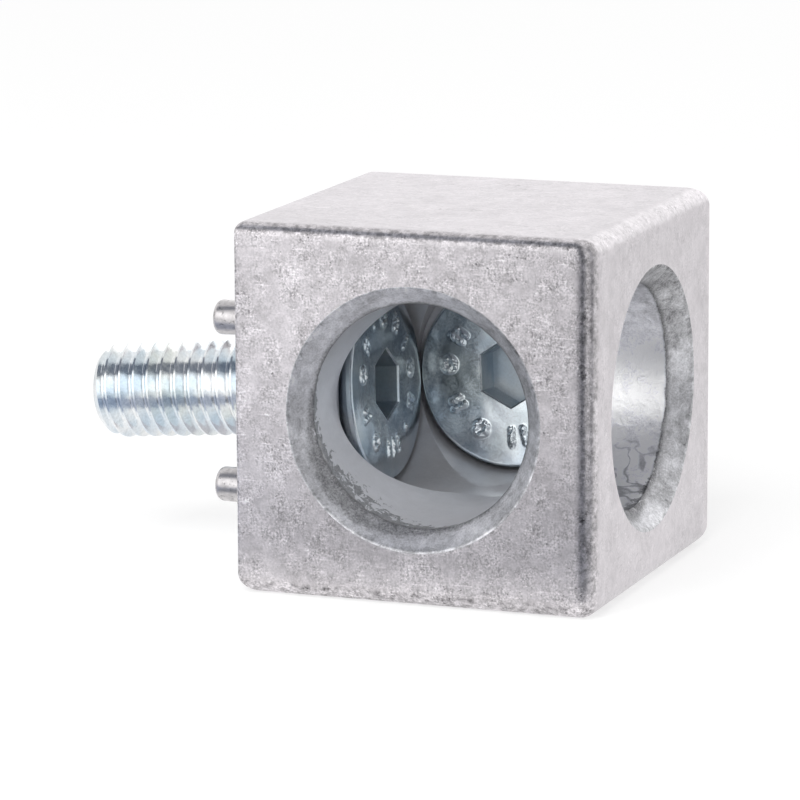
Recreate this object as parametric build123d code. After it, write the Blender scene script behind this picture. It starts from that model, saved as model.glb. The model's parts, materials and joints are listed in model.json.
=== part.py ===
from build123d import *
import os
from math import atan, cos, degrees, radians, sin, sqrt, tan

# Cube corner connector for 30 mm aluminium profile with 8 mm slots: a die-cast cube that joins
# two profiles at 90 degrees. Each way is one stepped core through the cube: a wide access bore
# from an open face, a countersunk seat, and a clearance hole through the wall that meets the
# profile. A countersunk socket screw stands in each seat, loose, as the connector is supplied.
#
# Millimetres, +Z up. The origin is the centre of the base face. -X (left) and +Y (back) meet the
# profiles; +X (right) and -Y (front) are the open faces. Top and base are closed.

# ---- cube ----
SIDE = 30.0                # side of the cube, the same as the profile's
BROAD_EDGE_R = 1.6         # the upright edge between the open faces, and most of the level edges
FRONT_TOP_EDGE_R = 1.1     # the tool's parting edge, along the top of the front face
LEFT_TOP_EDGE_R = 0.8      # along the top of the left face
JOINT_EDGE_R = 0.35        # upright edges of the faces that meet a profile

# ---- one way through the cube ----
CHAMFER_REACH = 1.5        # mouth chamfer, measured out from the bore
CHAMFER_DEPTH = 1.8        # mouth chamfer, measured into the bore
CORE_DRAFT = 1.55          # degrees of draft on the access bore
CORE_STEP = 0.1            # the right-hand core is this much wider all round, to shut off on the front one
HEAD_CLEARANCE = 0.55      # round the screw's head, at the pocket's floor
SEAT_LIP = 0.55            # how far the seat's mouth stays inside the head's rim
HOLE_CLEARANCE = 0.5       # round the screw's thread
HEADS_GAP = 0.3            # from the face of one tightened head to the rim of the other

# ---- key pins, cast on the faces that meet a profile: they enter the corners of its slots ----
KEY_D = 2.8
KEY_REACH = 2.6            # how far a key stands out of its face
KEY_TIP_CHAMFER = 0.5      # lead-in on a key's tip
KEY_ACROSS = 24.2          # between keys, across two opposite slots
KEY_ALONG = 13.6           # between the two keys in one slot

# ---- countersunk socket screw, M8 x 25 ----
THREAD_D = 8.0
THREAD_PITCH = 1.25
NECK_UNDERCUT = 0.65       # in pitches: how far the plain neck is under the thread, on diameter
NECK_PITCHES = 3           # length of the neck, in pitches of the thread
SCREW_LENGTH = 25.0        # overall, with the head
HEAD_D = 15.7
HEAD_LAND = 0.5            # straight edge of the head, over its cone
HEAD_EDGE = 0.25           # break of the head's rim
TIP_CHAMFER = 0.9
SOCKET_AF = 5.0            # hexagon, across flats
SOCKET_DEPTH = 3.0
SOCKET_POINT = 118.0       # degrees, the drill's point under the hexagon
SEAT_DROP = 0.4            # a loose head settles this far below the axis of its seat
REST_GAP = 0.03            # left where a loose screw rests on the casting
SOCKET_TURNS = {"left": 10.0, "back": -4.0}    # degrees, as each screw happens to be turned

HEAD_R = HEAD_D / 2
THREAD_R = THREAD_D / 2
NECK_R = THREAD_R - NECK_UNDERCUT * THREAD_PITCH / 2
HOLE_R = THREAD_R + HOLE_CLEARANCE
FLOOR = SIDE / 2 + HEAD_R + HEADS_GAP + HEAD_LAND + SEAT_LIP    # pocket's depth, from the open face
WALL = SIDE - FLOOR                            # metal between the pocket's floor and the profile
POCKET_R = HEAD_R + HEAD_CLEARANCE
BORE_R = POCKET_R + (FLOOR - CHAMFER_DEPTH) * tan(radians(CORE_DRAFT))
SEAT_R = HEAD_R - SEAT_LIP
THROAT = FLOOR + SEAT_R - HOLE_R               # a 90 degree seat is as deep as it is wide
OVERCUT = 1.0                                  # how far a cutter runs past the face it opens

# Each way has its own plane: origin on the open face, z towards the profile, y up.
WAYS = {
    "left": Plane((SIDE / 2, 0, SIDE / 2), x_dir=(0, -1, 0), z_dir=(-1, 0, 0)),
    "back": Plane((0, -SIDE / 2, SIDE / 2), x_dir=(-1, 0, 0), z_dir=(0, 1, 0)),
}

# The cube's edges by radius. An edge is given by the signs of x, y and z at its middle, as seen
# from the cube's centre.
CUBE_EDGES = [
    (BROAD_EDGE_R, [(1, -1, 0), (1, 0, 1), (0, 1, 1), (0, -1, -1), (1, 0, -1), (0, 1, -1), (-1, 0, -1)]),
    (FRONT_TOP_EDGE_R, [(0, -1, 1)]),
    (LEFT_TOP_EDGE_R, [(-1, 0, 1)]),
    (JOINT_EDGE_R, [(-1, -1, 0), (-1, 1, 0), (1, 1, 0)]),
]


def revolved(points):
    """Solid of revolution about z from an outline of (radius, height) points."""
    outline = make_face(Plane.XZ * Polyline(*points, close=True))
    return revolve(outline, Axis.Z)


def cube_blank():
    """The cube, its edges rounded from the broadest down."""
    half = SIDE / 2
    blank = Pos(0, 0, half) * Box(SIDE, SIDE, SIDE)
    for radius, edges in CUBE_EDGES:
        middles = [Vector(half * x, half * y, half + half * z) for x, y, z in edges]
        blank = fillet([blank.edges().sort_by_distance(middle)[0] for middle in middles], radius)
    return blank


def way_core(step):
    """What one way takes out: chamfered mouth, drafted bore, countersunk seat, clearance hole."""
    flare = OVERCUT * CHAMFER_REACH / CHAMFER_DEPTH
    bore_r = BORE_R + step
    return revolved([
        (0, -OVERCUT),
        (bore_r + CHAMFER_REACH + flare, -OVERCUT),
        (bore_r, CHAMFER_DEPTH),
        (POCKET_R + step, FLOOR),
        (SEAT_R, FLOOR),
        (HOLE_R, THROAT),
        (HOLE_R, SIDE + OVERCUT),
        (0, SIDE + OVERCUT),
    ])


def key_pin():
    """One key, with its root in the wall and a lead-in round its tip."""
    root = OVERCUT
    pin = Pos(0, 0, SIDE - root) * Cylinder(
        KEY_D / 2, KEY_REACH + root, align=(Align.CENTER, Align.CENTER, Align.MIN))
    return chamfer(pin.edges().sort_by(Axis.Z)[-1], KEY_TIP_CHAMFER)


def casting():
    """The die casting: cube, both ways cut through it, four keys on each joint face."""
    body = cube_blank()
    body -= WAYS["left"] * way_core(CORE_STEP)
    body -= WAYS["back"] * way_core(0)
    for way in WAYS.values():
        for spot in GridLocations(KEY_ACROSS, KEY_ALONG, 2, 2):
            body += way * spot * key_pin()
    return body


def screw():
    """Screw with its head's face at z = 0 and its tip along +z; the thread is its outside."""
    cone_end = HEAD_LAND + HEAD_R - NECK_R
    neck_end = cone_end + NECK_PITCHES * THREAD_PITCH
    turned = revolved([
        (0, 0),
        (HEAD_R - HEAD_EDGE, 0),
        (HEAD_R, HEAD_EDGE),
        (HEAD_R, HEAD_LAND),
        (NECK_R, cone_end),
        (NECK_R, neck_end - (THREAD_R - NECK_R)),
        (THREAD_R, neck_end),
        (THREAD_R, SCREW_LENGTH - TIP_CHAMFER),
        (THREAD_R - TIP_CHAMFER, SCREW_LENGTH),
        (0, SCREW_LENGTH),
    ])
    corner_r = SOCKET_AF / sqrt(3)
    hexagon = extrude(RegularPolygon(corner_r, 6, rotation=90), SOCKET_DEPTH)
    point_depth = corner_r / tan(radians(SOCKET_POINT / 2))
    point = Pos(0, 0, SOCKET_DEPTH + point_depth / 2) * Cone(corner_r, 0, point_depth)
    drilled = hexagon + (point & extrude(RegularPolygon(corner_r, 6, rotation=90), SCREW_LENGTH / 2))
    return turned - drilled


def loose_screw_pose():
    """Where a loose screw comes to rest in its way.

    Its neck lies on the lower edge of the hole's outer end, and its head hangs SEAT_DROP below
    the seat's axis, so the tip sags. Along its own axis it slides out until its 90 degree cone
    meets the first of two edges: the top of the seat's mouth, or the bottom of the seat's throat.
    """
    hole_drop = HOLE_R - NECK_R - REST_GAP
    sag = atan((hole_drop - SEAT_DROP) / WALL)
    tip_y, tip_z = -sin(sag), cos(sag)
    edges = [(SEAT_R, FLOOR), (-HOLE_R, THROAT)]
    reaches = []
    for edge_y, edge_z in edges:
        dy = edge_y + hole_drop
        dz = edge_z - SIDE
        along = dy * tip_y + dz * tip_z
        off_axis = abs(dy * tip_z - dz * tip_y)
        reaches.append(along - (HEAD_LAND + HEAD_R - off_axis) - REST_GAP)
    face = min(reaches)
    return Pos(0, face * tip_y - hole_drop, SIDE + face * tip_z) * Rot(X=degrees(sag))


def placed_screw(side):
    """The screw of one way, turned about its own axis and laid in its seat."""
    return WAYS[side] * loose_screw_pose() * Rot(Z=SOCKET_TURNS[side]) * screw()


os.makedirs("parts", exist_ok=True)
export_step(casting(), "parts/cube_casting.step")
for name in WAYS:
    export_step(placed_screw(name), f"parts/{name}_screw.step")
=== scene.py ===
"""A cube corner connector for slotted profile: a tumbled die casting with two loose screws.

Laid out as a Blender add-on and run as a script. Every length is in metres, and every surface is
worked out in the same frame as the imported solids: origin at the centre of the base face, +Z up,
-X (left) and +Y (back) meet the profiles, +X (right) and -Y (front) are the open faces.
"""
import json
import math
from functools import partial

import bmesh
import bpy
import numpy as np
from bpy.props import FloatProperty, FloatVectorProperty, PointerProperty
from mathutils import Matrix, Vector


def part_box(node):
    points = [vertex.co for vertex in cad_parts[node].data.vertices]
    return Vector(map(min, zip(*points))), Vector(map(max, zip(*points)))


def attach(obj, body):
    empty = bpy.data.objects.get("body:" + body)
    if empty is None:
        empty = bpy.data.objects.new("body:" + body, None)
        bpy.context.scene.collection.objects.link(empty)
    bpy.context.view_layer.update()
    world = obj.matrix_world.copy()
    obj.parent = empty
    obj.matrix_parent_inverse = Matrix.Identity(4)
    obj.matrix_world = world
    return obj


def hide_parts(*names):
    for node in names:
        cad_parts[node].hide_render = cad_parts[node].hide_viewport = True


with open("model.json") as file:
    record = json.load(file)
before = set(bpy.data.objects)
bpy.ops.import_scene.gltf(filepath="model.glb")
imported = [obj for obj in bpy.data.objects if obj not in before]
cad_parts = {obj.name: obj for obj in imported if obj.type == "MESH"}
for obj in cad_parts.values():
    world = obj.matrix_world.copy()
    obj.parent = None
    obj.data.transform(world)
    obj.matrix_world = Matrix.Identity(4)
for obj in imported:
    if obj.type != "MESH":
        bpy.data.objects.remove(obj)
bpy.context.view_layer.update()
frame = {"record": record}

bl_info = {
    "name": "Cube corner connector",
    "version": (1, 0, 0),
    "blender": (4, 5, 0),
    "location": "View3D > Sidebar > Connector",
    "description": "Surfaces, finishes and studio of a cast cube corner connector",
    "category": "Object",
}

MM = 0.001
WELD = 1e-5 * MM  # points this near each other are made one
OVERCUT = 1 * MM  # how far a cutter runs past the cube, and how deep a key is rooted in its wall
THREAD_DEPTH = 0.6134  # of an outside ISO metric thread, in pitches
CASTING = "cube_casting"
SCREWS = {"left": "left_screw", "back": "back_screw"}
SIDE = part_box(CASTING)[1].z
HALF = SIDE / 2
KEY_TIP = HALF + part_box(CASTING)[1].y
MOUNTS = {mount["name"]: mount for mount in frame["record"]["mounts"]}


def linear(code):
    """Linear RGB of an sRGB hex code."""
    parts = np.array([int(code[i:i + 2], 16) for i in (1, 3, 5)]) / 255
    return tuple(np.where(parts <= 0.04045, parts / 12.92, ((parts + 0.055) / 1.055) ** 2.4))


# ------------------------------------------------------------------ sizes and colours

def size(name, value, description):
    """A length property, in metres."""
    return FloatProperty(name=name, default=value, description=description, unit="LENGTH", precision=5)


def colour(name, code, description):
    """A colour property with an sRGB hex default."""
    return FloatVectorProperty(
        name=name, default=linear(code), description=description, subtype="COLOR", min=0, max=1)


def angle(name, degrees, description):
    """An angle property, given in degrees."""
    return FloatProperty(
        name=name, default=math.radians(degrees), description=description, unit="ROTATION")


class CastingSizes(bpy.types.PropertyGroup):
    broad_edge: size("Broad edge radius", 1.6 * MM, "Most level edges, and the upright between the mouths")
    front_top_edge: size("Front top edge radius", 1.1 * MM, "The edge along the top of the front")
    left_top_edge: size("Left top edge radius", 0.8 * MM, "The edge along the top of the left face")
    joint_edge: size("Joint edge radius", 0.35 * MM, "Upright edges of the faces that meet a profile")
    chamfer_reach: size("Chamfer reach", 1.5 * MM, "Mouth chamfer, measured out from the bore")
    chamfer_depth: size("Chamfer depth", 1.8 * MM, "Mouth chamfer, measured into the bore")
    draft: angle("Core draft", 1.55, "Taper of the access bores")
    core_step: size("Core step", 0.1 * MM, "How much wider the right-hand core is, all round")
    pocket: size("Pocket radius", 8.4 * MM, "Access bore at its floor")
    floor: size("Pocket depth", 24.2 * MM, "From the open face to the pocket's floor")
    seat: size("Seat radius", 7.3 * MM, "Mouth of the countersunk seat")
    hole: size("Hole radius", 4.5 * MM, "Clearance hole through the wall")
    key: size("Key radius", 1.4 * MM, "The cast keys on the joint faces")
    key_tip: size("Key tip radius", 0.5 * MM, "Rounding of a key's tip")
    ragged: size("Ragged lip", 0.05 * MM, "Height of the torn flash where the chamfer meets the bore")
    skin: colour("Tumbled skin", "#D8D4D7", "Outside of the casting")
    bore: colour("Cored skin", "#F4F4F8", "Inside of the bores and their chamfers")
    burnished: colour("Burnished skin", "#CCC9CA", "The keys, which the tumbling rubs brightest")


class ScrewSizes(bpy.types.PropertyGroup):
    thread: size("Thread radius", 4.0 * MM, "Outside of the M8 thread")
    pitch: size("Pitch", 1.25 * MM, "Pitch of the M8 thread")
    neck: size("Neck radius", 3.594 * MM, "Plain neck, as wide as the rolling blank")
    length: size("Length", 25.0 * MM, "Overall, with the head")
    head: size("Head radius", 7.85 * MM, "Outside of the countersunk head")
    land: size("Head land", 0.5 * MM, "Straight edge of the head, over its cone")
    rim: size("Rim break", 0.25 * MM, "Rounding between the head's face and its land")
    tip: size("Tip chamfer", 0.9 * MM, "Chamfer at the thread's end")
    socket: size("Socket corner radius", 5.0 / math.sqrt(3) * MM, "Hexagon, across corners, halved")
    socket_depth: size("Socket depth", 3.0 * MM, "Depth of the hexagon's flats")
    mark: size("Mark height", 0.16 * MM, "How far the forged marks stand up on the head")
    left_turn: angle("Left turn", 10.0, "How the left screw is turned about its axis")
    back_turn: angle("Back turn", -4.0, "How the back screw is turned about its axis")
    zinc: colour("Zinc", "#F4F6F7", "Bright zinc plate")
    blue: colour("Blue passivation", "#DAE4EC", "Where the passivation film looks blue")
    # painted shade: besides the film's bluer tint, this colour darkens the heads, which sit down in the
    # bores
    head_film_and_shade: colour("Head film", "#DEE4E8", "How the film tints the heads, where it is thicker")
    straw: colour("Straw passivation", "#DDE0D2", "Where the passivation film looks yellowish")


class StageSizes(bpy.types.PropertyGroup):
    turn: angle("Camera turn", 20.92, "How far the camera stands to the right of straight ahead")
    rise: angle("Camera rise", 11.235, "How far the camera looks down")
    roll: angle("Camera roll", -0.32, "Camera turned about its own line of sight")
    distance: size("Camera distance", 385.2 * MM, "From the cube's centre, along the line of sight")
    across: size("Camera across", -6.27 * MM, "Camera moved to its right")
    up: size("Camera up", -1.06 * MM, "Camera moved up")
    lens: FloatProperty(name="Lens", default=213.9, description="Focal length in mm, 36 mm wide sensor")
    fill: FloatProperty(name="Fill", default=0.6, description="Surround's strength where it only lights")
    lift: FloatProperty(name="Lift", default=0.64, description="Glow that brings the seen floor to white")
    paper: colour("Paper", "#AEAEAE", "The studio's floor")
    cloth: colour("Dark cloth", "#7A7E88", "The cards towards the camera")
    pale_cloth: colour("Pale cloth", "#AEB5C6", "The cards above and below the thread")


# ------------------------------------------------------------------ surfaces

def welded(name, *grids):
    """Mesh of grids of points (rows, columns, 3), where points of a grid that coincide are made one.

    Neighbouring rows and columns are joined by quads. A quad with two corners at one point becomes
    a triangle, and one that has shrunk to a line is left out, so a row of equal points is a pole.
    Faces point outwards when columns run anticlockwise about the direction from first to last row.
    """
    points, faces, offset = [], [], 0
    for grid in grids:
        flat = grid.reshape(-1, 3)
        keys = np.round(flat / WELD).astype(np.int64)
        _, first, number = np.unique(keys, axis=0, return_index=True, return_inverse=True)
        number = number.reshape(grid.shape[:2]) + offset
        quads = np.stack([number[:-1, :-1], number[:-1, 1:], number[1:, 1:], number[1:, :-1]], -1)
        quads = quads.reshape(-1, 4)
        doubled = quads == np.roll(quads, -1, 1)
        pinched = doubled.sum(1) == 1
        faces += quads[doubled.sum(1) == 0].tolist()
        faces += quads[pinched][~doubled[pinched]].reshape(-1, 3).tolist()
        points.append(flat[first])
        offset += len(first)
    mesh = bpy.data.meshes.new(name)
    mesh.from_pydata(np.vstack(points).tolist(), [], faces)
    mesh.polygons.foreach_set("use_smooth", np.ones(len(faces), bool))
    return mesh


def pole(columns, z):
    """A row of equal points on the z axis, which closes the end of a turned shape."""
    return np.tile([0.0, 0.0, z], (1, columns, 1))


def turned(radius, height, theta):
    """Points at a radius and a height, by angle about the z axis."""
    return np.stack(np.broadcast_arrays(radius * np.cos(theta), radius * np.sin(theta), height), -1)


def full_turn(columns):
    """Angles round a full turn, with the first repeated at the end, so that a seam closes."""
    return np.append(np.arange(columns) * 2 * math.pi / columns, 0.0)


def new_object(name, mesh):
    """An object at the origin, linked to the scene."""
    made = bpy.data.objects.new(name, mesh)
    bpy.context.scene.collection.objects.link(made)
    return made


def points_of(mesh):
    """The mesh's points as an array."""
    flat = np.zeros(len(mesh.vertices) * 3)
    mesh.vertices.foreach_get("co", flat)
    return flat.reshape(-1, 3)


def set_values(mesh, name, values):
    """Keeps a number at each point, for materials to read."""
    layer = mesh.attributes.new(name, "FLOAT", "POINT")
    layer.data.foreach_set("value", np.asarray(values, np.float32))


def ripple(around, along, waves_round, wave_length, seed, parts=24):
    """Random ripple from about -1 to 1 on a surface given by an angle and a length.

    A sum of cosines, each with a whole number of waves round the angle, up to waves_round, and
    with a wavelength along the length that is at least wave_length.
    """
    rng = np.random.default_rng(seed)
    turns = rng.integers(-waves_round, waves_round + 1, parts)
    rates = rng.uniform(-1, 1, parts) * 2 * math.pi / wave_length
    shifts = rng.uniform(0, 2 * math.pi, parts)
    phase = around[..., None] * turns + along[..., None] * rates + shifts
    return np.cos(phase).sum(-1) / math.sqrt(parts)


def smooth(low, high, value):
    """0 below low, 1 above high, and an eased climb between."""
    t = np.clip((value - low) / (high - low), 0, 1)
    return t * t * (3 - 2 * t)


def stations(knots, step):
    """Points along a polyline of (radius, depth) knots: every knot, and a point each step between."""
    knots = np.array(knots, float)
    lengths = np.hypot(*np.diff(knots, axis=0).T)
    travelled = np.concatenate([[0], np.cumsum(lengths)])
    cuts = [np.linspace(a, b, max(2, math.ceil((b - a) / step) + 1))[:-1]
            for a, b in zip(travelled[:-1], travelled[1:])]
    along = np.concatenate(cuts + [travelled[-1:]])
    return np.interp(along, travelled, knots[:, 0]), np.interp(along, travelled, knots[:, 1])


# ------------------------------------------------------------------ die casting

def block_mesh(sizes):
    """The block: a square with rounded corners, carried up from the base to the top.

    At each height every side stands in by radius - sqrt(radius squared - overrun squared), where
    the overrun is how far the height has run past the start of that side's top or base fillet. A
    corner is an arc that touches its two sides; its radius is the upright edge's, less what the
    sides have moved in, and never under the joint edge's.
    """
    broad, soft = sizes.broad_edge, sizes.joint_edge
    top = np.array([sizes.front_top_edge, broad, broad, sizes.left_top_edge])
    upright = np.array([broad, soft, soft, soft])
    turn = np.linspace(0, math.pi / 2, 19)
    height = np.concatenate([broad * (1 - np.cos(turn)), SIDE - broad * (1 - np.sin(turn))])[:, None]
    base_run = np.clip(broad - height, 0, broad)
    top_run = np.clip(height - (SIDE - top), 0, top)
    inset = broad - np.sqrt(broad ** 2 - base_run ** 2) + top - np.sqrt(top ** 2 - top_run ** 2)
    corner = np.maximum(upright - (inset + np.roll(inset, -1, 1)) / 2, soft)
    run = 0.5 - 0.5 * np.cos(np.linspace(0, math.pi, 41))
    bend = np.linspace(-math.pi / 2, 0, 15)[1:-1]
    outline = []
    for number in range(4):
        # in this side's own axes: x ahead along it, y out of it
        start = -(HALF - np.roll(inset, 1, 1)[:, number] - np.roll(corner, 1, 1)[:, number])
        centre = HALF - np.roll(inset, -1, 1)[:, number] - corner[:, number]
        out = HALF - inset[:, number]
        along = start[:, None] + (centre - start)[:, None] * run
        side = np.stack([along, np.broadcast_to(out[:, None], along.shape)], -1)
        spread = np.stack([np.cos(bend), -np.sin(bend)], -1)
        arc = np.stack([centre, out - corner[:, number]], -1)[:, None]
        arc = arc + corner[:, number, None, None] * spread
        heading = number * math.pi / 2
        ahead, outward = np.array([[math.cos(heading), math.sin(heading)],
                                   [math.sin(heading), -math.cos(heading)]])
        outline.append(np.concatenate([side, arc], 1) @ np.array([ahead, outward]))
    outline = np.concatenate(outline, 1)
    level = np.broadcast_to(height[..., None], (*outline.shape[:2], 1))
    rings = np.concatenate([outline, level], -1)
    rings = np.concatenate([rings, rings[:, :1]], 1)
    columns = rings.shape[1]
    return welded("block", np.concatenate([pole(columns, 0), rings, pole(columns, SIDE)]))


def way_axes(side):
    """Origin on the open face, and unit x, y and z of one way: z runs towards the profile."""
    if side == "left":
        return np.array([HALF, 0, HALF]), np.array([[0, -1, 0], [0, 0, 1], [-1, 0, 0]], float)
    return np.array([0, -HALF, HALF]), np.array([[-1, 0, 0], [0, 0, 1], [0, 1, 0]], float)


def tear_width(clock):
    """How far the torn lip of a mouth runs in, by the angle anticlockwise from its right: a bell
    curve round the low left, over a thin remainder."""
    low_left, spread = math.radians(233), math.radians(42)
    thin, hump = 0.14, 2.5
    off = np.mod(clock - low_left + math.pi, 2 * math.pi) - math.pi
    return (thin + hump * np.exp(-(off / spread) ** 2)) * MM


def core_grid(side, sizes, columns=600):
    """What one way takes out: a radius, given by angle and depth, turned about the way's axis.

    The radius follows the broken outer edge, chamfer, drafted bore, pocket floor, seat and hole,
    with rows close together round the chamfer and further apart beyond it. A random ripple is
    added where the chamfer meets the bore, as tall as the lip is torn there, and a fainter one to
    the chamfer, which the trimming leaves uneven.
    """
    step = sizes.core_step if side == "left" else 0.0
    seed = 11 if side == "left" else 5
    bore = sizes.pocket + (sizes.floor - sizes.chamfer_depth) * math.tan(sizes.draft) + step
    mouth = bore + sizes.chamfer_reach
    throat = sizes.floor + sizes.seat - sizes.hole
    flare, edge_out, edge_in, edge_depth = 1.4 * MM, 0.13 * MM, 0.05 * MM, 0.09 * MM
    past_lip = sizes.chamfer_depth + 1.2 * MM
    mouth_run = stations([(mouth + flare, -OVERCUT), (mouth + edge_out, 0), (mouth - edge_in, edge_depth),
                          (bore, sizes.chamfer_depth), (bore, past_lip)], 0.1 * MM)
    bore_run = stations([(bore, past_lip), (sizes.pocket + step, sizes.floor)], 0.7 * MM)
    seat_run = stations([(sizes.pocket + step, sizes.floor), (sizes.seat, sizes.floor),
                         (sizes.hole, throat), (sizes.hole, SIDE + OVERCUT)], 1.2 * MM)
    radius, depth = np.hstack([mouth_run, np.array(bore_run)[:, 1:], np.array(seat_run)[:, 1:]])[..., None]
    theta = full_turn(columns)
    around, along = np.broadcast_arrays(theta, depth)
    lip, lip_spread, uneven_height = sizes.chamfer_depth + 0.12 * MM, 0.26 * MM, 0.02 * MM
    torn = np.clip(ripple(around, along, 46, 0.9 * MM, seed, 40), -0.4, 1.3)
    torn *= np.exp(-((depth - lip) / lip_spread) ** 2) * np.minimum(1, tear_width(math.pi - theta) / MM)
    uneven = ripple(around, along, 9, 3 * MM, seed + 1)
    uneven *= smooth(0, 0.3 * MM, depth) * (1 - smooth(2 * MM, 3 * MM, depth))
    rings = turned(radius + sizes.ragged * torn + uneven_height * uneven, depth, theta)
    ends = pole(columns + 1, -OVERCUT), pole(columns + 1, SIDE + OVERCUT)
    origin, axes = way_axes(side)
    return np.concatenate([ends[0], rings, ends[1]]) @ axes + origin


def key_grids(sizes, columns=56):
    """The eight keys: a radius by height, straight and then rounded over the tip, turned round.

    Each has its root in the wall and its own small ripple, because the castings are tumbled.
    """
    root, tip, dented = SIDE - OVERCUT, KEY_TIP, 0.014 * MM
    arc = np.linspace(0, math.pi / 2, 10)
    straight = np.linspace(root, tip - sizes.key_tip, 12)[:-1]
    height = np.concatenate([straight, tip - sizes.key_tip * (1 - np.sin(arc))])[:, None]
    flat = sizes.key - sizes.key_tip
    radius = np.append(np.full(len(straight), sizes.key), flat + sizes.key_tip * np.cos(arc))[:, None]
    theta = full_turn(columns)
    around, along = np.broadcast_arrays(theta, height)
    grids = []
    for side in SCREWS:
        origin, axes = way_axes(side)
        spacing = MOUNTS[f"{side}_keys"]["dims"]
        across, up = spacing["spacing_x_mm"] * MM / 2, spacing["spacing_y_mm"] * MM / 2
        for x, y in ((across, up), (across, -up), (-across, up), (-across, -up)):
            rough = ripple(around, along, 4, 1.8 * MM, 40 + len(grids))
            rings = turned(radius - dented * (1 + rough), height, theta)
            ends = pole(columns + 1, root), pole(columns + 1, tip)
            grids.append((np.concatenate([ends[0], rings, ends[1]]) + (x, y, 0)) @ axes + origin)
    return grids


def cut(block, steps):
    """Runs a list of (operation, mesh) steps on the block as exact booleans, keeps the result as
    its mesh, and takes out the slivers that they leave."""
    sliver = 0.0005 * MM
    tools = []
    for operation, mesh in steps:
        tool = new_object(mesh.name, mesh)
        modifier = block.modifiers.new(mesh.name, "BOOLEAN")
        modifier.operation = operation
        modifier.solver = "EXACT"
        modifier.material_mode = "TRANSFER"
        modifier.object = tool
        tools.append(tool)
    seen = block.evaluated_get(bpy.context.evaluated_depsgraph_get())
    result = bpy.data.meshes.new_from_object(seen)
    cleaned = bmesh.new()
    cleaned.from_mesh(result)
    bmesh.ops.dissolve_degenerate(cleaned, dist=sliver, edges=cleaned.edges)
    cleaned.to_mesh(result)
    cleaned.free()
    block.modifiers.clear()
    block.data = result
    for tool in tools:
        bpy.data.objects.remove(tool)


def mark_mouths(mesh, sizes):
    """Keeps each point's depth into the nearer mouth, and how wide the lip is torn beside it."""
    x, y, z = points_of(mesh).T
    spare = 0.3 * MM
    mouth = sizes.pocket + sizes.floor * math.tan(sizes.draft) + sizes.chamfer_reach + spare
    front = np.where(np.hypot(x, z - HALF) < mouth, y + HALF, SIDE)
    right = np.where(np.hypot(y, z - HALF) < mouth, HALF - x, SIDE)
    clock = np.arctan2(z - HALF, np.where(front < right, x, y))
    set_values(mesh, "from_mouth_mm", np.minimum(front, right) / MM)
    set_values(mesh, "tear_mm", tear_width(clock) / MM)


def build_casting(sizes):
    """The casting as one mesh: block, less both cores, plus the keys."""
    piece = new_object("die_casting", block_mesh(sizes))
    piece.data.materials.append(tumbled_die_cast_aluminium(sizes))
    cores = [welded(f"{side}_core", core_grid(side, sizes)) for side in SCREWS]
    cored = cored_die_cast_aluminium(sizes)
    for mesh in cores:
        mesh.materials.append(cored)
    keys = welded("keys", *key_grids(sizes))
    keys.materials.append(burnished_die_cast_aluminium(sizes))
    cut(piece, [("DIFFERENCE", cores[0]), ("DIFFERENCE", cores[1]), ("UNION", keys)])
    mark_mouths(piece.data, sizes)
    piece.data.polygons.foreach_set("use_smooth", np.ones(len(piece.data.polygons), bool))
    piece.data.set_sharp_from_angle(angle=math.radians(32))
    weighted = piece.modifiers.new("weighted", "WEIGHTED_NORMAL")
    weighted.keep_sharp = True
    return piece


# ------------------------------------------------------------------ screws

# Marks forged on a head's face, by their angle round it: plain rings, bars and dots.
HEAD_MARKS = ((8, "ring"), (36, "pair"), (60, "dot"), (83, "ring"), (113, "pair"), (140, "bar"),
              (166, "ring"), (196, "pair"), (222, "dot"), (246, "bar"), (258, "bar"), (270, "bar"),
              (300, "ring"), (332, "pair"))
# Strokes of a mark, in mm: ends of straight lines, with x out along the radius.
MARK_STROKES = {"bar": [((-0.6, 0), (0.6, 0))],
                "pair": [((-0.5, -0.32), (0.5, -0.32)), ((-0.5, 0.32), (0.3, 0.32))],
                "dot": [((-0.05, 0), (0.05, 0))]}


def hexagon(theta, corner):
    """Radius of a hexagon by angle, with corners at 90 degrees and every 60 from there."""
    flat = np.mod(theta - math.pi / 2, math.pi / 3) - math.pi / 6
    return corner * math.cos(math.pi / 6) / np.cos(flat)


def stroke_gap(x, y, stroke):
    """Distance to a straight line between two points: the distance to its nearest point."""
    (ax, ay), (bx, by) = stroke
    dx, dy = bx - ax, by - ay
    along = np.clip(((x - ax) * dx + (y - ay) * dy) / (dx * dx + dy * dy), 0, 1)
    return np.hypot(x - ax - along * dx, y - ay - along * dy)


def head_marks(theta, radius, sizes):
    """Height of the forged marks on a head's face, by angle and radius.

    Each mark is looked at in its own axes, turned to its angle, as the gap to its nearest stroke;
    a ring's gap is how far the distance from its centre is from its radius. The height falls off
    with the gap, and a random ripple makes it crumbly.
    """
    centre, half_width = 5.35, 0.3
    gap = np.full(np.broadcast(theta, radius).shape, 9.0)
    for degrees, kind in HEAD_MARKS:
        turn = theta - math.radians(degrees)
        x, y = radius / MM * np.cos(turn) - centre, radius / MM * np.sin(turn)
        if kind == "ring":
            gap = np.minimum(gap, np.abs(np.hypot(x, y) - 0.5))
        else:
            gap = np.minimum.reduce([gap] + [stroke_gap(x, y, stroke) for stroke in MARK_STROKES[kind]])
    crumbly = 0.75 + 0.4 * ripple(theta, radius, 70, 0.4 * MM, 17, 30)
    return sizes.mark * crumbly * (1 - smooth(0.25 * half_width, 1.3 * half_width, gap))


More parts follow.
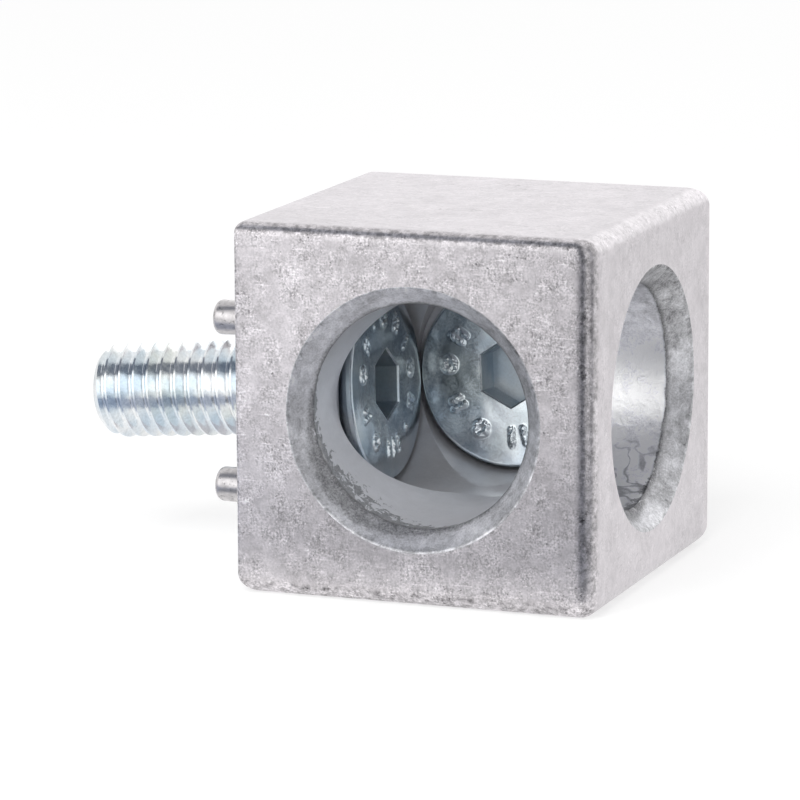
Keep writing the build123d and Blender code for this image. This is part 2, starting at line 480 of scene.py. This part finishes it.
def head_rows(sizes, theta):
    """Rows of the head and neck, from the middle of the socket's floor to where the thread starts:
    the forged floor, nearly flat, the flats of the hexagon and their lead-in, the face with its
    marks, the rim, land and cone, and the neck."""
    corner, depth = sizes.socket, sizes.socket_depth
    sunk, lead = 0.12 * MM, 0.15 * MM
    hexa = hexagon(theta, corner)
    share = np.array([0.0, 0.15, 0.3, 0.45, 0.6, 0.75, 0.9, 1.0])[:, None]
    floor = turned(share * hexa, depth + sunk * (1 - smooth(0, 0.9, share)), theta)
    share = np.linspace(0, 1, 7)[1:, None]
    flats = turned(hexa, depth + (lead - depth) * share, theta)
    start, end = hexagon(theta, corner + lead), sizes.head - sizes.rim
    share = np.linspace(0, 1, 52)[:, None]
    radius = start + (end - start) * share
    marks = head_marks(theta, radius, sizes) * smooth(0, 0.1, share) * (1 - smooth(0.92, 1, share))
    face = turned(radius, -marks, theta)
    turn = np.linspace(0, math.pi / 2, 6)[1:, None]
    rim = turned(end + sizes.rim * np.sin(turn), sizes.rim * (1 - np.cos(turn)), theta)
    cone_end = sizes.land + sizes.head - sizes.neck
    cone = stations([(sizes.head, sizes.land), (sizes.neck, cone_end),
                     (sizes.neck, cone_end + 2 * sizes.pitch)], 0.6 * MM)
    cone = turned(cone[0][:, None], cone[1][:, None], theta)
    return np.concatenate([floor, flats, face, rim, cone])


def thread_rows(sizes, theta, low, high):
    """Rows of the thread from one height to another, each a helix that climbs a pitch a turn.

    A row's place in the pitch gives its radius: the crest is an eighth of a pitch wide, the root a
    quarter with its corners eased, and the flanks run straight between. Heights are held between
    low and high, where rows gather into flat rings. The thread grows out of the neck over the
    first pitch, and the tip's chamfer cuts it off at 45 degrees, a little unevenly.
    """
    root = sizes.thread - THREAD_DEPTH * sizes.pitch
    eased, middle = root + 0.04 * MM, (root + sizes.thread) / 2
    places = np.array([1, 3.5, 6, 7, 9, 10, 12.5, 15]) / 16
    radii = np.array([sizes.thread, middle, eased, root, root, eased, middle, sizes.thread])
    turns = np.arange(-1, math.ceil((high - low) / sizes.pitch) + 1)
    level = low + ((turns[:, None] + places) * sizes.pitch).reshape(-1, 1)
    climbed = np.linspace(0, 1, len(theta))
    height = np.clip(level + climbed * sizes.pitch, low, high)
    place = np.mod((height - low) / sizes.pitch - climbed, 1)
    radius = np.interp(place, places, radii, period=1)
    radius = sizes.neck + (radius - sizes.neck) * smooth(low, low + sizes.pitch, height)
    rough = 0.04 * MM * ripple(np.broadcast_to(theta, height.shape), height, 7, 2 * MM, 91)
    chamfer = sizes.thread - sizes.tip + (high - height)
    return turned(np.minimum(radius, chamfer + rough * smooth(low, high, height)), height, theta)


def screw_grid(sizes, columns=360):
    """The screw's whole skin in its own frame: head, thread and the dished end."""
    theta = full_turn(columns)
    low, sunk = sizes.land + sizes.head - sizes.neck + 2 * sizes.pitch, 0.36 * MM
    thread = thread_rows(sizes, theta, low, sizes.length)
    share = np.array([0.92, 0.75, 0.5, 0.25, 0.0])[:, None, None]
    dish = thread[-1:] * share
    dish[..., 2] = sizes.length - sunk * (1 - share[..., 0] ** 2)
    return np.concatenate([head_rows(sizes, theta), thread, dish])


def build_screw(side, sizes, finish):
    """One screw, laid along its mount: the mount stands where the full thread starts."""
    mesh = welded(f"{side}_socket_screw", screw_grid(sizes))
    local = points_of(mesh)
    set_values(mesh, "from_tip_mm", (sizes.length - local[:, 2]) / MM)
    mount = MOUNTS[SCREWS[side] + "_thread"]
    z = np.array(mount["axis"], float)
    z /= np.linalg.norm(z)
    x = np.cross([0, 0, 1], z)
    x /= np.linalg.norm(x)
    turn = sizes.left_turn if side == "left" else sizes.back_turn
    spin = np.array([[math.cos(turn), math.sin(turn), 0], [-math.sin(turn), math.cos(turn), 0], [0, 0, 1]])
    full_thread = sizes.land + sizes.head - sizes.neck + 3 * sizes.pitch
    hair = 0.002 * MM  # keeps the tip a hair inside the solid's
    face = np.array(mount["pos_m"], float) - z * (full_thread + hair)
    placed = local @ (spin @ np.array([x, np.cross(z, x), z])) + face
    mesh.vertices.foreach_set("co", placed.ravel())
    mesh.update()
    mesh.set_sharp_from_angle(angle=math.radians(40))
    mesh.materials.append(finish)
    return new_object(f"{side}_socket_screw", mesh)


# ------------------------------------------------------------------ materials

def node(tree, kind, inputs=None, **settings):
    """Adds one shader node: settings are its attributes, and inputs its sockets' values, or the
    sockets or nodes that they are linked from. A node stands for its first output.

    Sockets go by name or number. A Map Range takes its value at 0, the range from 1 to 2, and what
    that becomes from 3 to 4. A Math node takes its terms at 0 to 2. A Mix takes its factor at 0 and
    its two sides at 2 and 3, or 6 and 7 for colours.
    """
    made = tree.nodes.new("ShaderNode" + kind)
    for key, value in settings.items():
        setattr(made, key, value)
    for key, value in (inputs or {}).items():
        if isinstance(value, bpy.types.Node):
            value = value.outputs[0]
        if isinstance(value, bpy.types.NodeSocket):
            tree.links.new(value, made.inputs[key])
        else:
            made.inputs[key].default_value = value
    return made


def fresh_nodes(owner):
    """Empties the nodes of a material or world, and gives the function that adds new ones."""
    owner.use_nodes = True
    owner.node_tree.nodes.clear()
    return partial(node, owner.node_tree)


def new_material(name):
    """An empty material, and the function that adds its nodes."""
    material = bpy.data.materials.new(name)
    return material, fresh_nodes(material)


def millimetres(add):
    """The object's coordinates, in millimetres."""
    place = add("TexCoord").outputs["Object"]
    return add("Mapping", {"Vector": place, "Scale": (1 / MM, 1 / MM, 1 / MM)})


def rgba(value):
    """A colour with full alpha."""
    return (*value[:3], 1.0)


def away(add, value, middle):
    """How far a value is from a middle, either way."""
    off = add("Math", {0: value, 1: middle}, operation="SUBTRACT")
    return add("Math", {0: off}, operation="ABSOLUTE")


def tumbled_die_cast_aluminium(sizes):
    """Aluminium die casting, tumbled with grit: a pale satin metal. The grit leaves a fine
    salt-and-pepper grain and short scuffs both ways, weakest on the top and right faces, which
    rubbed against the barrel. Edges are burnished, and spotted where they were knocked, with painted
    shade that makes the spots darkest on the edges that face forwards. Over all
    that lie soft clouds, a few curved scratches, and sparse dark pits."""
    material, add = new_material("tumbled_die_cast_aluminium")
    mm = millimetres(add)
    normal = add("TexCoord").outputs["Normal"]
    facing = add("SeparateXYZ", {0: normal})
    rubbed = add("Math", {0: facing.outputs[0], 1: facing.outputs[2]}, operation="MAXIMUM")
    gritty = add("MapRange", {0: rubbed, 1: 0.35, 2: 0.95, 3: 1.0, 4: 0.3})
    calm = add("MapRange", {0: rubbed, 1: 0.35, 2: 0.95, 3: 1.0, 4: 0.6})
    square = add("VectorMath", {0: normal}, operation="ABSOLUTE")
    square = add("SeparateXYZ", {0: square})
    largest = add("Math", {0: square.outputs[0], 1: square.outputs[1]}, operation="MAXIMUM")
    largest = add("Math", {0: largest, 1: square.outputs[2]}, operation="MAXIMUM")
    edge = add("MapRange", {0: largest, 1: 0.995, 2: 0.93})

    # fine layers of tone: stretch, size in mm, octaves, the noise's range, and what it comes to
    fine, broad = 0.0, 1.0
    for stretch, across, octaves, low, high, least, most in (
            ((1, 1, 1), 0.17, 2.0, 0.35, 0.65, -0.2, 0.2),
            ((1, 1, 1), 0.2, 0.0, 0.7, 0.8, 0.0, 0.4),
            ((1, 1, 1), 0.23, 1.0, 0.68, 0.78, 0.0, -0.5),
            ((1, 1, 0.3), 0.3, 2.0, 0.35, 0.65, -0.08, 0.08),
            ((0.25, 1, 0.6), 0.3, 2.0, 0.35, 0.65, -0.07, 0.07),
            ((0.12, 1, 1), 0.2, 0.0, 0.7, 0.76, 0.0, 0.25)):
        drawn = add("Mapping", {"Vector": mm, "Scale": stretch})
        noise = add("TexNoise", {"Vector": drawn, "Scale": 1 / across, "Detail": octaves})
        noise = add("MapRange", {0: noise, 1: low, 2: high, 3: least, 4: most})
        fine = add("Math", {0: noise, 1: fine})
    uneven = add("TexNoise", {"Vector": mm, "Scale": 1 / 1.6, "Detail": 3.0, "Distortion": 0.5})
    uneven = add("MapRange", {0: uneven, 1: 0.38, 2: 0.62, 3: 0.35, 4: 1.35})
    fine = add("Math", {0: fine, 1: uneven}, operation="MULTIPLY")

    # broad clouds, calmer where the faces were rubbed: size in mm, and what they come to
    for across, least, most in ((0.7, -0.13, 0.09), (2.2, -0.11, 0.08), (9.0, -0.1, 0.08)):
        noise = add("TexNoise", {"Vector": mm, "Scale": 1 / across, "Detail": 4.0,
                                 "Roughness": 0.6, "Distortion": 0.4})
        noise = add("MapRange", {0: noise, 1: 0.3, 2: 0.7, 3: least, 4: most})
        broad = add("Math", {0: noise, 1: broad})
    broad = add("Math", {0: broad, 1: 1.0}, operation="SUBTRACT")
    broad = add("Math", {0: broad, 1: calm, 2: 1.0}, operation="MULTIPLY_ADD")

    # knocked spots on the edges, with painted shade: weighting them to the edges that face forwards darkens
    # those most
    knocks_and_painted_shade = add("TexNoise", {"Vector": mm, "Scale": 1 / 0.55, "Detail": 4.0, "Roughness": 0.7})
    knocks_and_painted_shade = add("MapRange", {0: knocks_and_painted_shade, 1: 0.38, 2: 0.62, 3: -0.44, 4: 0.1})
    forward_painted_shade = add("MapRange", {0: facing.outputs[1], 1: -0.05, 2: -0.3, 3: 0.3, 4: 1.0})
    for factor in (forward_painted_shade, edge):
        knocks_and_painted_shade = add("Math", {0: knocks_and_painted_shade, 1: factor}, operation="MULTIPLY")
    tone = add("Math", {0: fine, 1: gritty, 2: broad}, operation="MULTIPLY_ADD")
    tone = add("Math", {0: tone, 1: knocks_and_painted_shade})

    # scratches run where a slow noise crosses its middle, and pits sit in one cell of five
    patchy = add("TexNoise", {"Vector": mm, "Scale": 1 / 6.0, "Detail": 2.0})
    patchy = add("MapRange", {0: patchy, 1: 0.56, 2: 0.62})
    bent = add("TexNoise", {"Vector": mm, "Scale": 1 / 3.2, "Detail": 1.5, "Distortion": 0.8})
    scratch = add("MapRange", {0: away(add, bent, 0.5), 1: 0.003, 2: 0.009, 3: -0.16, 4: 0.0})
    tone = add("Math", {0: scratch, 1: patchy, 2: tone}, operation="MULTIPLY_ADD")
    pits = add("TexVoronoi", {"Vector": mm, "Scale": 1 / 1.2, "Detail": 1.0})
    chance = add("SeparateColor", {0: pits.outputs["Color"]})
    pit = add("MapRange", {0: pits, 1: 0.04, 2: 0.1, 3: 1.0, 4: 0.0})
    rare = add("Math", {0: chance, 1: 0.8}, operation="GREATER_THAN")
    pit = add("Math", {0: pit, 1: rare}, operation="MULTIPLY")
    tone = add("Math", {0: pit, 1: -0.35, 2: tone}, operation="MULTIPLY_ADD")
    hue = add("VectorMath", {0: sizes.skin[:], "Scale": tone}, operation="SCALE")
    rough = add("MapRange", {0: edge, 3: 0.5, 4: 0.36})
    relief = add("Math", {0: fine, 1: gritty}, operation="MULTIPLY")
    relief = add("Math", {0: pit, 1: -0.8, 2: relief}, operation="MULTIPLY_ADD")
    bump = add("Bump", {"Height": relief, "Strength": 0.25, "Distance": 0.06 * MM})
    shader = add("BsdfPrincipled", {
        "Base Color": hue, "Metallic": 1.0, "Roughness": rough, "Normal": bump})
    add("OutputMaterial", {"Surface": shader})
    return material


def burnished_die_cast_aluminium(sizes):
    """The same casting where it sticks out and the tumbling rubs it brightest: a smoother metal,
    with short scuffs round the key and a little dirt left in the low spots."""
    material, add = new_material("burnished_die_cast_aluminium")
    mm = millimetres(add)
    scuffs = add("TexNoise", {"Vector": mm, "Scale": 1 / 0.5, "Detail": 4.0, "Roughness": 0.7})
    tone = add("MapRange", {0: scuffs, 1: 0.32, 2: 0.68, 3: 0.8, 4: 1.12})
    dirt = add("TexNoise", {"Vector": mm, "Scale": 1 / 0.35, "Detail": 3.0})
    dirt = add("MapRange", {0: dirt, 1: 0.33, 2: 0.4, 3: 0.55, 4: 1.0})
    shade = add("Math", {0: tone, 1: dirt}, operation="MULTIPLY")
    hue = add("VectorMath", {0: sizes.burnished[:], "Scale": shade}, operation="SCALE")
    rough = add("MapRange", {0: scuffs, 1: 0.3, 2: 0.7, 3: 0.4, 4: 0.28})
    bump = add("Bump", {"Height": scuffs, "Strength": 0.3, "Distance": 0.05 * MM})
    shader = add("BsdfPrincipled", {
        "Base Color": hue, "Metallic": 1.0, "Roughness": rough, "Normal": bump})
    add("OutputMaterial", {"Surface": shader})
    return material


def cored_die_cast_aluminium(sizes):
    """Aluminium that froze against a steel core: a smooth grey oxide skin, more matt than metallic,
    with painted shade that makes it darker deep inside. The right-hand core dragged, which left that
    bore blotchy and more metallic, and brighter, partly from painted light that makes it lighter low
    down and darker towards its top; its chamfer is darker than the front one's. The chamfer is
    mottled, with a worn rim. The lip beyond it is a dark line, and ragged patches of dragged die
    lubricant run in from it, and out onto the chamfer where the lip is torn most. Low in the
    right-hand bore the lubricant pooled."""
    material, add = new_material("cored_die_cast_aluminium")
    mm = millimetres(add)
    depth = add("Attribute", attribute_name="from_mouth_mm").outputs["Fac"]
    tear = add("Attribute", attribute_name="tear_mm").outputs["Fac"]
    place = add("SeparateXYZ", {0: mm})
    mottle = add("TexNoise", {"Vector": mm, "Scale": 1 / 0.8, "Detail": 6.0,
                              "Roughness": 0.65, "Distortion": 0.6})
    speckle = add("TexNoise", {"Vector": mm, "Scale": 1 / 0.16, "Detail": 3.0, "Roughness": 0.7})
    broad = add("TexNoise", {"Vector": mm, "Scale": 1 / 3.0, "Detail": 4.0, "Distortion": 0.8})
    dragged = add("MapRange", {0: place.outputs[0], 1: 4.0, 2: 8.0})
    on_chamfer = add("MapRange", {0: depth, 1: 1.7, 2: 1.9, 3: 1.0, 4: 0.0})
    past_lip = add("Math", {0: depth, 1: 1.8}, operation="SUBTRACT")

    # the torn patches: more likely near the lip, and none beyond the tear's width
    share = add("Math", {0: past_lip, 1: tear}, operation="DIVIDE")
    wander = add("MapRange", {0: mottle, 1: 0.35, 2: 0.65, 3: -0.85, 4: 0.85})
    share = add("Math", {0: share, 1: wander})
    inside = add("MapRange", {0: share, 1: 0.62, 2: 0.74, 3: 1.0, 4: 0.0})
    outside = add("Math", {0: mottle, 1: 0.5}, operation="SUBTRACT")
    outside = add("Math", {0: outside, 1: 1.8, 2: past_lip}, operation="MULTIPLY_ADD")
    outside = add("Math", {0: tear, 1: 0.4, 2: outside}, operation="MULTIPLY_ADD")
    outside = add("MapRange", {0: outside, 1: -0.25, 2: 0.1})
    torn = add("Math", {0: inside, 1: outside}, operation="MULTIPLY")
    patches = add("Math", {0: mottle, 1: 0.4, 2: speckle}, operation="MULTIPLY_ADD")
    patches = add("MapRange", {0: patches, 1: 0.45, 2: 0.95, 3: 0.3, 4: 0.66})
    dark = add("Mix", {0: torn, 2: 1.0, 3: patches})
    # the lip's dark line, and the wear on the rim, where the chamfer starts
    line = add("MapRange", {0: away(add, past_lip, 0.04), 1: 0.04, 2: 0.2, 3: 0.6, 4: 1.0})
    worn = add("MapRange", {0: mottle, 1: 0.35, 2: 0.65, 3: 0.7, 4: 1.15})
    worn = add("MapRange", {0: depth, 1: 0.06, 2: 0.35, 3: worn, 4: 1.0})

    # low in the dragged bore, dark loops where lubricant pooled and dried
    pool = add("TexNoise", {"Vector": mm, "Scale": 1 / 2.4, "Detail": 1.0, "Distortion": 1.2})
    pool = add("MapRange", {0: away(add, pool, 0.5), 1: 0.01, 2: 0.07, 3: 0.5, 4: 1.0})
    low = add("MapRange", {0: place.outputs[2], 1: 11.0, 2: 8.5})
    inner = add("Math", {0: 1.0, 1: on_chamfer}, operation="SUBTRACT")
    for factor in (dragged, inner):
        low = add("Math", {0: low, 1: factor}, operation="MULTIPLY")
    pool = add("Mix", {0: low, 2: 1.0, 3: pool})
    for factor in (line, worn, pool):
        dark = add("Math", {0: dark, 1: factor}, operation="MULTIPLY")

    # tone: speckled and mottled on the chamfer and where the core dragged, nearly even elsewhere
    uneven = 0.0
    for noise, low, high, least, most in ((speckle, 0.3, 0.7, -0.2, 0.16), (mottle, 0.3, 0.7, -0.24, 0.2),
                                          (broad, 0.35, 0.65, -0.16, 0.16)):
        noise = add("MapRange", {0: noise, 1: low, 2: high, 3: least, 4: most})
        uneven = add("Math", {0: uneven, 1: noise})
    busy = add("Math", {0: on_chamfer, 1: dragged}, operation="MAXIMUM")
    busy = add("MapRange", {0: busy, 3: 0.14, 4: 0.9})
    plain = add("MapRange", {0: dragged, 3: 0.88, 4: 0.6})
    plain = add("Mix", {0: on_chamfer, 2: 1.0, 3: plain})
    # painted light in the right-hand bore: lighter below 17 mm up, darker towards its top
    painted_light_by_height = add("MapRange", {0: place.outputs[2], 1: 17.0, 2: 22.0, 3: 1.2, 4: 0.74})
    painted_light_by_height = add("Mix", {0: dragged, 2: 1.0, 3: painted_light_by_height})
    # painted shade: the bores are made darker deeper in, from 9 to 17 mm past the mouth
    painted_depth_shade = add("MapRange", {0: depth, 1: 9.0, 2: 17.0, 3: 1.0, 4: 0.7})
    for factor in (painted_light_by_height, painted_depth_shade):
        plain = add("Math", {0: plain, 1: factor}, operation="MULTIPLY")
    shade = add("Math", {0: uneven, 1: busy, 2: plain}, operation="MULTIPLY_ADD")
    shade = add("Math", {0: shade, 1: dark}, operation="MULTIPLY")
    hue = add("VectorMath", {0: sizes.bore[:], "Scale": shade}, operation="SCALE")
    metal = add("MapRange", {0: dragged, 3: 0.5, 4: 0.9})
    metal = add("Mix", {0: on_chamfer, 2: metal, 3: 0.85})
    rough = add("MapRange", {0: dragged, 3: 0.3, 4: 0.36})
    rough = add("Mix", {0: on_chamfer, 2: rough, 3: 0.48})
    relief = add("Math", {0: torn, 1: -0.6, 2: mottle}, operation="MULTIPLY_ADD")
    raised = add("MapRange", {0: dragged, 3: 0.05 * MM, 4: 0.14 * MM})
    bump = add("Bump", {"Height": relief, "Strength": 0.4, "Distance": raised})
    shader = add("BsdfPrincipled", {
        "Base Color": hue, "Metallic": metal, "Roughness": rough, "Normal": bump})
    add("OutputMaterial", {"Surface": shader})
    return material


def blue_zinc_plated_steel(sizes):
    """Steel with bright zinc plate and a thin passivation film: nearly a mirror, cool white, with
    faint drifts of blue and straw, a fine haze, an orange-peel ripple that bends what it mirrors,
    and a browner end where the point was cropped. Towards the head the film tints it bluer, and that
    tint is also painted shade that darkens the heads down in the bores; further painted shade makes
    each head darker at its top and lighter below. The head's flank and the socket are hazier, as forged."""
    material, add = new_material("blue_zinc_plated_steel")
    mm = millimetres(add)
    film = add("TexNoise", {"Vector": mm, "Scale": 1 / 3.0, "Detail": 2.0})
    drift = add("TexNoise", {"Vector": mm, "Scale": 1 / 4.5, "Detail": 2.0, "W": 3.0},
                noise_dimensions="4D")
    haze = add("TexNoise", {"Vector": mm, "Scale": 1 / 0.22, "Detail": 3.0, "Roughness": 0.6})
    peel = add("TexNoise", {"Vector": mm, "Scale": 1 / 2.2, "Detail": 1.0})
    tip = add("Attribute", attribute_name="from_tip_mm").outputs["Fac"]
    height = add("SeparateXYZ", {0: mm}).outputs[2]

    # colour: the film's two drifts, and towards the head a bluer tint that is also painted shade, darkening
    # the heads down in the bores
    bluish = add("MapRange", {0: film, 1: 0.4, 2: 0.62, 4: 0.9})
    strawish = add("MapRange", {0: drift, 1: 0.5, 2: 0.66, 4: 0.25})
    headward = add("MapRange", {0: tip, 1: 15.0, 2: 22.0})
    tone = rgba(sizes.zinc)
    for share, tint, blend in ((bluish, sizes.blue, "MIX"), (strawish, sizes.straw, "MIX"),
                               (headward, sizes.head_film_and_shade, "MULTIPLY")):
        tone = add("Mix", {0: share, 6: tone, 7: rgba(tint)}, data_type="RGBA", blend_type=blend).outputs[2]

    # brightness: the cropped end, the haze, and painted shade on the head, darker towards its top and
    # lighter below
    shade = add("MapRange", {0: tip, 1: 0.0, 2: 0.6, 3: 0.8, 4: 1.0})
    hazy = add("MapRange", {0: haze, 1: 0.3, 2: 0.7, 3: 0.88, 4: 1.04})
    # painted shade and highlight: on the head, lighter low down and darker at the top
    painted_head_shade = add("MapRange", {0: height, 1: 11.0, 2: 22.0, 3: 1.1, 4: 0.66})
    painted_head_shade = add("Mix", {0: headward, 2: 1.0, 3: painted_head_shade})
    for factor in (hazy, painted_head_shade):
        shade = add("Math", {0: shade, 1: factor}, operation="MULTIPLY")
    hue = add("VectorMath", {0: tone, "Scale": shade}, operation="SCALE")

    # roughness: the haze, and the coarser flank of the head and socket, behind the head's face
    flank = add("MapRange", {0: tip, 1: 24.9, 2: 24.8})
    headed = add("Math", {0: tip, 1: 20.3}, operation="GREATER_THAN")
    flank = add("Math", {0: flank, 1: headed}, operation="MULTIPLY")
    coarse = add("MapRange", {0: flank, 4: 0.32})
    rough = add("MapRange", {0: haze, 1: 0.3, 2: 0.7, 3: 0.12, 4: 0.24})
    rough = add("Math", {0: coarse, 1: rough})
    wavy = add("Bump", {"Height": peel, "Distance": 0.06 * MM})
    bump = add("Bump", {"Height": haze, "Strength": 0.1, "Distance": 0.03 * MM, "Normal": wavy})
    shader = add("BsdfPrincipled", {
        "Base Color": hue, "Metallic": 1.0, "Roughness": rough, "Normal": bump})
    add("OutputMaterial", {"Surface": shader})
    return material


def seen_directly(add):
    """1 for what the camera, a mirror or glass sees, 0 for what only lights."""
    path = add("LightPath")
    seen = path.outputs["Is Camera Ray"]
    for way in ("Is Glossy Ray", "Is Transmission Ray"):
        seen = add("Math", {0: seen, 1: path.outputs[way]}, operation="MAXIMUM")
    return seen


def matt_white_paper(sizes):
    """Seamless studio paper: matt and white. What the camera and mirrors see of it is brightened
    to plain white, and the soft shadow stays."""
    material, add = new_material("matt_white_paper")
    lift = add("Math", {0: seen_directly(add), 1: sizes.lift}, operation="MULTIPLY")
    paper = add("BsdfDiffuse", {"Color": rgba(sizes.paper)})
    glow = add("Emission", {"Color": (1, 1, 1, 1), "Strength": lift})
    both = add("AddShader", {0: paper, 1: glow})
    add("OutputMaterial", {"Surface": both})
    return material


def grey_cloth(name, tint):
    """Matt cloth on the cards that shape what the metal mirrors: little light comes back."""
    material, add = new_material(name)
    felt = add("BsdfDiffuse", {"Color": rgba(tint)})
    add("OutputMaterial", {"Surface": felt})
    return material


# ------------------------------------------------------------------ studio

def floor_mesh(radius=2.5, rows=12, columns=64):
    """A flat disc: rings of growing radius at height zero, round a pole."""
    rings = turned(np.geomspace(0.02, radius, rows)[:, None], 0.0, full_turn(columns))
    return welded("floor", np.concatenate([rings[::-1], pole(columns + 1, 0)]))


def lamp(name, place, width, height, radiance):
    """A softbox: an area lamp of a given radiance at a place, facing the cube. Mirrors see it."""
    data = bpy.data.lights.new(name, "AREA")
    data.shape = "RECTANGLE"
    data.size, data.size_y = width, height
    data.energy = radiance * math.pi * width * height
    made = new_object(name, data)
    made.location = place
    made.rotation_euler = (Vector((0, 0, HALF)) - Vector(place)).to_track_quat("-Z", "Y").to_euler()
    made.visible_camera = False
    return made


def card(name, cloth, corners):
    """A flat card by its corners, in mm. Only mirrors see it: it lights and shades nothing."""
    mesh = bpy.data.meshes.new(name)
    mesh.from_pydata((np.array(corners) * MM).tolist(), [], [(0, 1, 2, 3)])
    mesh.materials.append(cloth)
    made = new_object(name, mesh)
    made.visible_camera = made.visible_diffuse = made.visible_shadow = False


def build_world(fill):
    """A white surround: full strength where it is seen, and the fill where it only lights."""
    world = bpy.data.worlds.new("studio")
    bpy.context.scene.world = world
    add = fresh_nodes(world)
    strength = add("MapRange", {0: seen_directly(add), 3: fill, 4: 1.0})
    glow = add("Background", {"Color": (1, 1, 1, 1), "Strength": strength})
    add("OutputWorld", {"Surface": glow})


def build_camera(sizes):
    """The camera, from its turn, rise and roll about the cube's centre."""
    yaw, rise, roll = sizes.turn, sizes.rise, sizes.roll
    sight = Vector((-math.sin(yaw) * math.cos(rise), math.cos(yaw) * math.cos(rise), -math.sin(rise)))
    level = Vector((math.cos(yaw), math.sin(yaw), 0))
    over = level.cross(sight)
    right = math.cos(roll) * level + math.sin(roll) * over
    up = math.cos(roll) * over - math.sin(roll) * level
    data = bpy.data.cameras.new("camera")
    data.lens, data.sensor_width, data.clip_start = sizes.lens, 36, 0.01
    made = new_object("camera", data)
    turn = Matrix((right, up, -sight)).transposed().to_4x4()
    place = Vector((0, 0, HALF)) - sight * sizes.distance + level * sizes.across + over * sizes.up
    made.matrix_world = Matrix.Translation(place) @ turn
    bpy.context.scene.camera = made


# ------------------------------------------------------------------ operators and panel

class CONNECTOR_OT_casting(bpy.types.Operator):
    """Build the die casting, with its torn chamfers and its keys"""
    bl_idname = "connector.casting"
    bl_label = "Die casting"

    def execute(self, context):
        piece = build_casting(context.scene.connector_casting)
        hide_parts(CASTING)
        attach(piece, "root")
        return {"FINISHED"}


class CONNECTOR_OT_screws(bpy.types.Operator):
    """Build both countersunk socket screws, lying loose in their seats"""
    bl_idname = "connector.screws"
    bl_label = "Socket screws"

    def execute(self, context):
        sizes = context.scene.connector_screws
        zinc = blue_zinc_plated_steel(sizes)
        for side, solid in SCREWS.items():
            piece = build_screw(side, sizes, zinc)
            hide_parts(solid)
            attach(piece, "root")
        return {"FINISHED"}


class CONNECTOR_OT_stage(bpy.types.Operator):
    """Lay the floor, and set the surround, softboxes, grey cards and camera"""
    bl_idname = "connector.stage"
    bl_label = "Studio"

    def execute(self, context):
        sizes = context.scene.connector_stage
        floor = new_object("floor", floor_mesh())
        floor.data.materials.append(matt_white_paper(sizes))
        build_world(sizes.fill)
        lamp("front_left_softbox", (-0.35, -0.62, 0.25), width=0.7, height=0.5, radiance=0.75)
        lamp("back_softbox", (0.0, 0.8, 0.28), width=0.9, height=0.5, radiance=0.45)
        key = lamp("key_softbox", (0.0, -0.5, 0.55), width=0.4, height=0.4, radiance=5.5)
        key.visible_glossy = False
        dark, pale = grey_cloth("dark_cloth", sizes.cloth), grey_cloth("pale_cloth", sizes.pale_cloth)
        card("upper_card", pale, [(-600, -320, 400), (100, -320, 400), (100, -20, 520), (-600, -20, 520)])
        card("low_card", pale, [(-150, -50, 0.5), (-24, -50, 0.5), (-24, -14, 0.5), (-150, -14, 0.5)])
        card("sill_card", dark, [(-24, -52, 0.5), (10, -52, 0.5), (10, -20, 0.5), (-24, -20, 0.5)])
        card("apron_card", dark, [(17, -18, 0.5), (10, -20, 0.5), (10, -60, 0.5), (85, -18, 0.5)])
        card("camera_card", dark, [(10, -60, 0), (42, -42, 0), (42, -42, 120), (10, -60, 120)])
        card("side_card", dark, [(62, -31, 0), (100, -10, 0), (100, -10, 120), (62, -31, 120)])
        build_camera(sizes)
        context.scene.view_settings.view_transform = "Standard"
        return {"FINISHED"}


class CONNECTOR_PT_panel(bpy.types.Panel):
    """Lists the steps that build the connector"""
    bl_idname = "CONNECTOR_PT_panel"
    bl_label = "Cube corner connector"
    bl_space_type = "VIEW_3D"
    bl_region_type = "UI"
    bl_category = "Connector"

    def draw(self, context):
        for step in STEPS:
            self.layout.operator(step.bl_idname)


GROUPS = {"connector_casting": CastingSizes, "connector_screws": ScrewSizes,
          "connector_stage": StageSizes}
STEPS = (CONNECTOR_OT_casting, CONNECTOR_OT_screws, CONNECTOR_OT_stage)
CLASSES = (*GROUPS.values(), *STEPS, CONNECTOR_PT_panel)


def register():
    for each in CLASSES:
        bpy.utils.register_class(each)
    for name, group in GROUPS.items():
        setattr(bpy.types.Scene, name, PointerProperty(type=group))


def unregister():
    for name in GROUPS:
        delattr(bpy.types.Scene, name)
    for each in reversed(CLASSES):
        bpy.utils.unregister_class(each)


def main():
    register()
    bpy.ops.connector.casting()
    bpy.ops.connector.screws()
    bpy.ops.connector.stage()


if __name__ == "__main__":
    main()
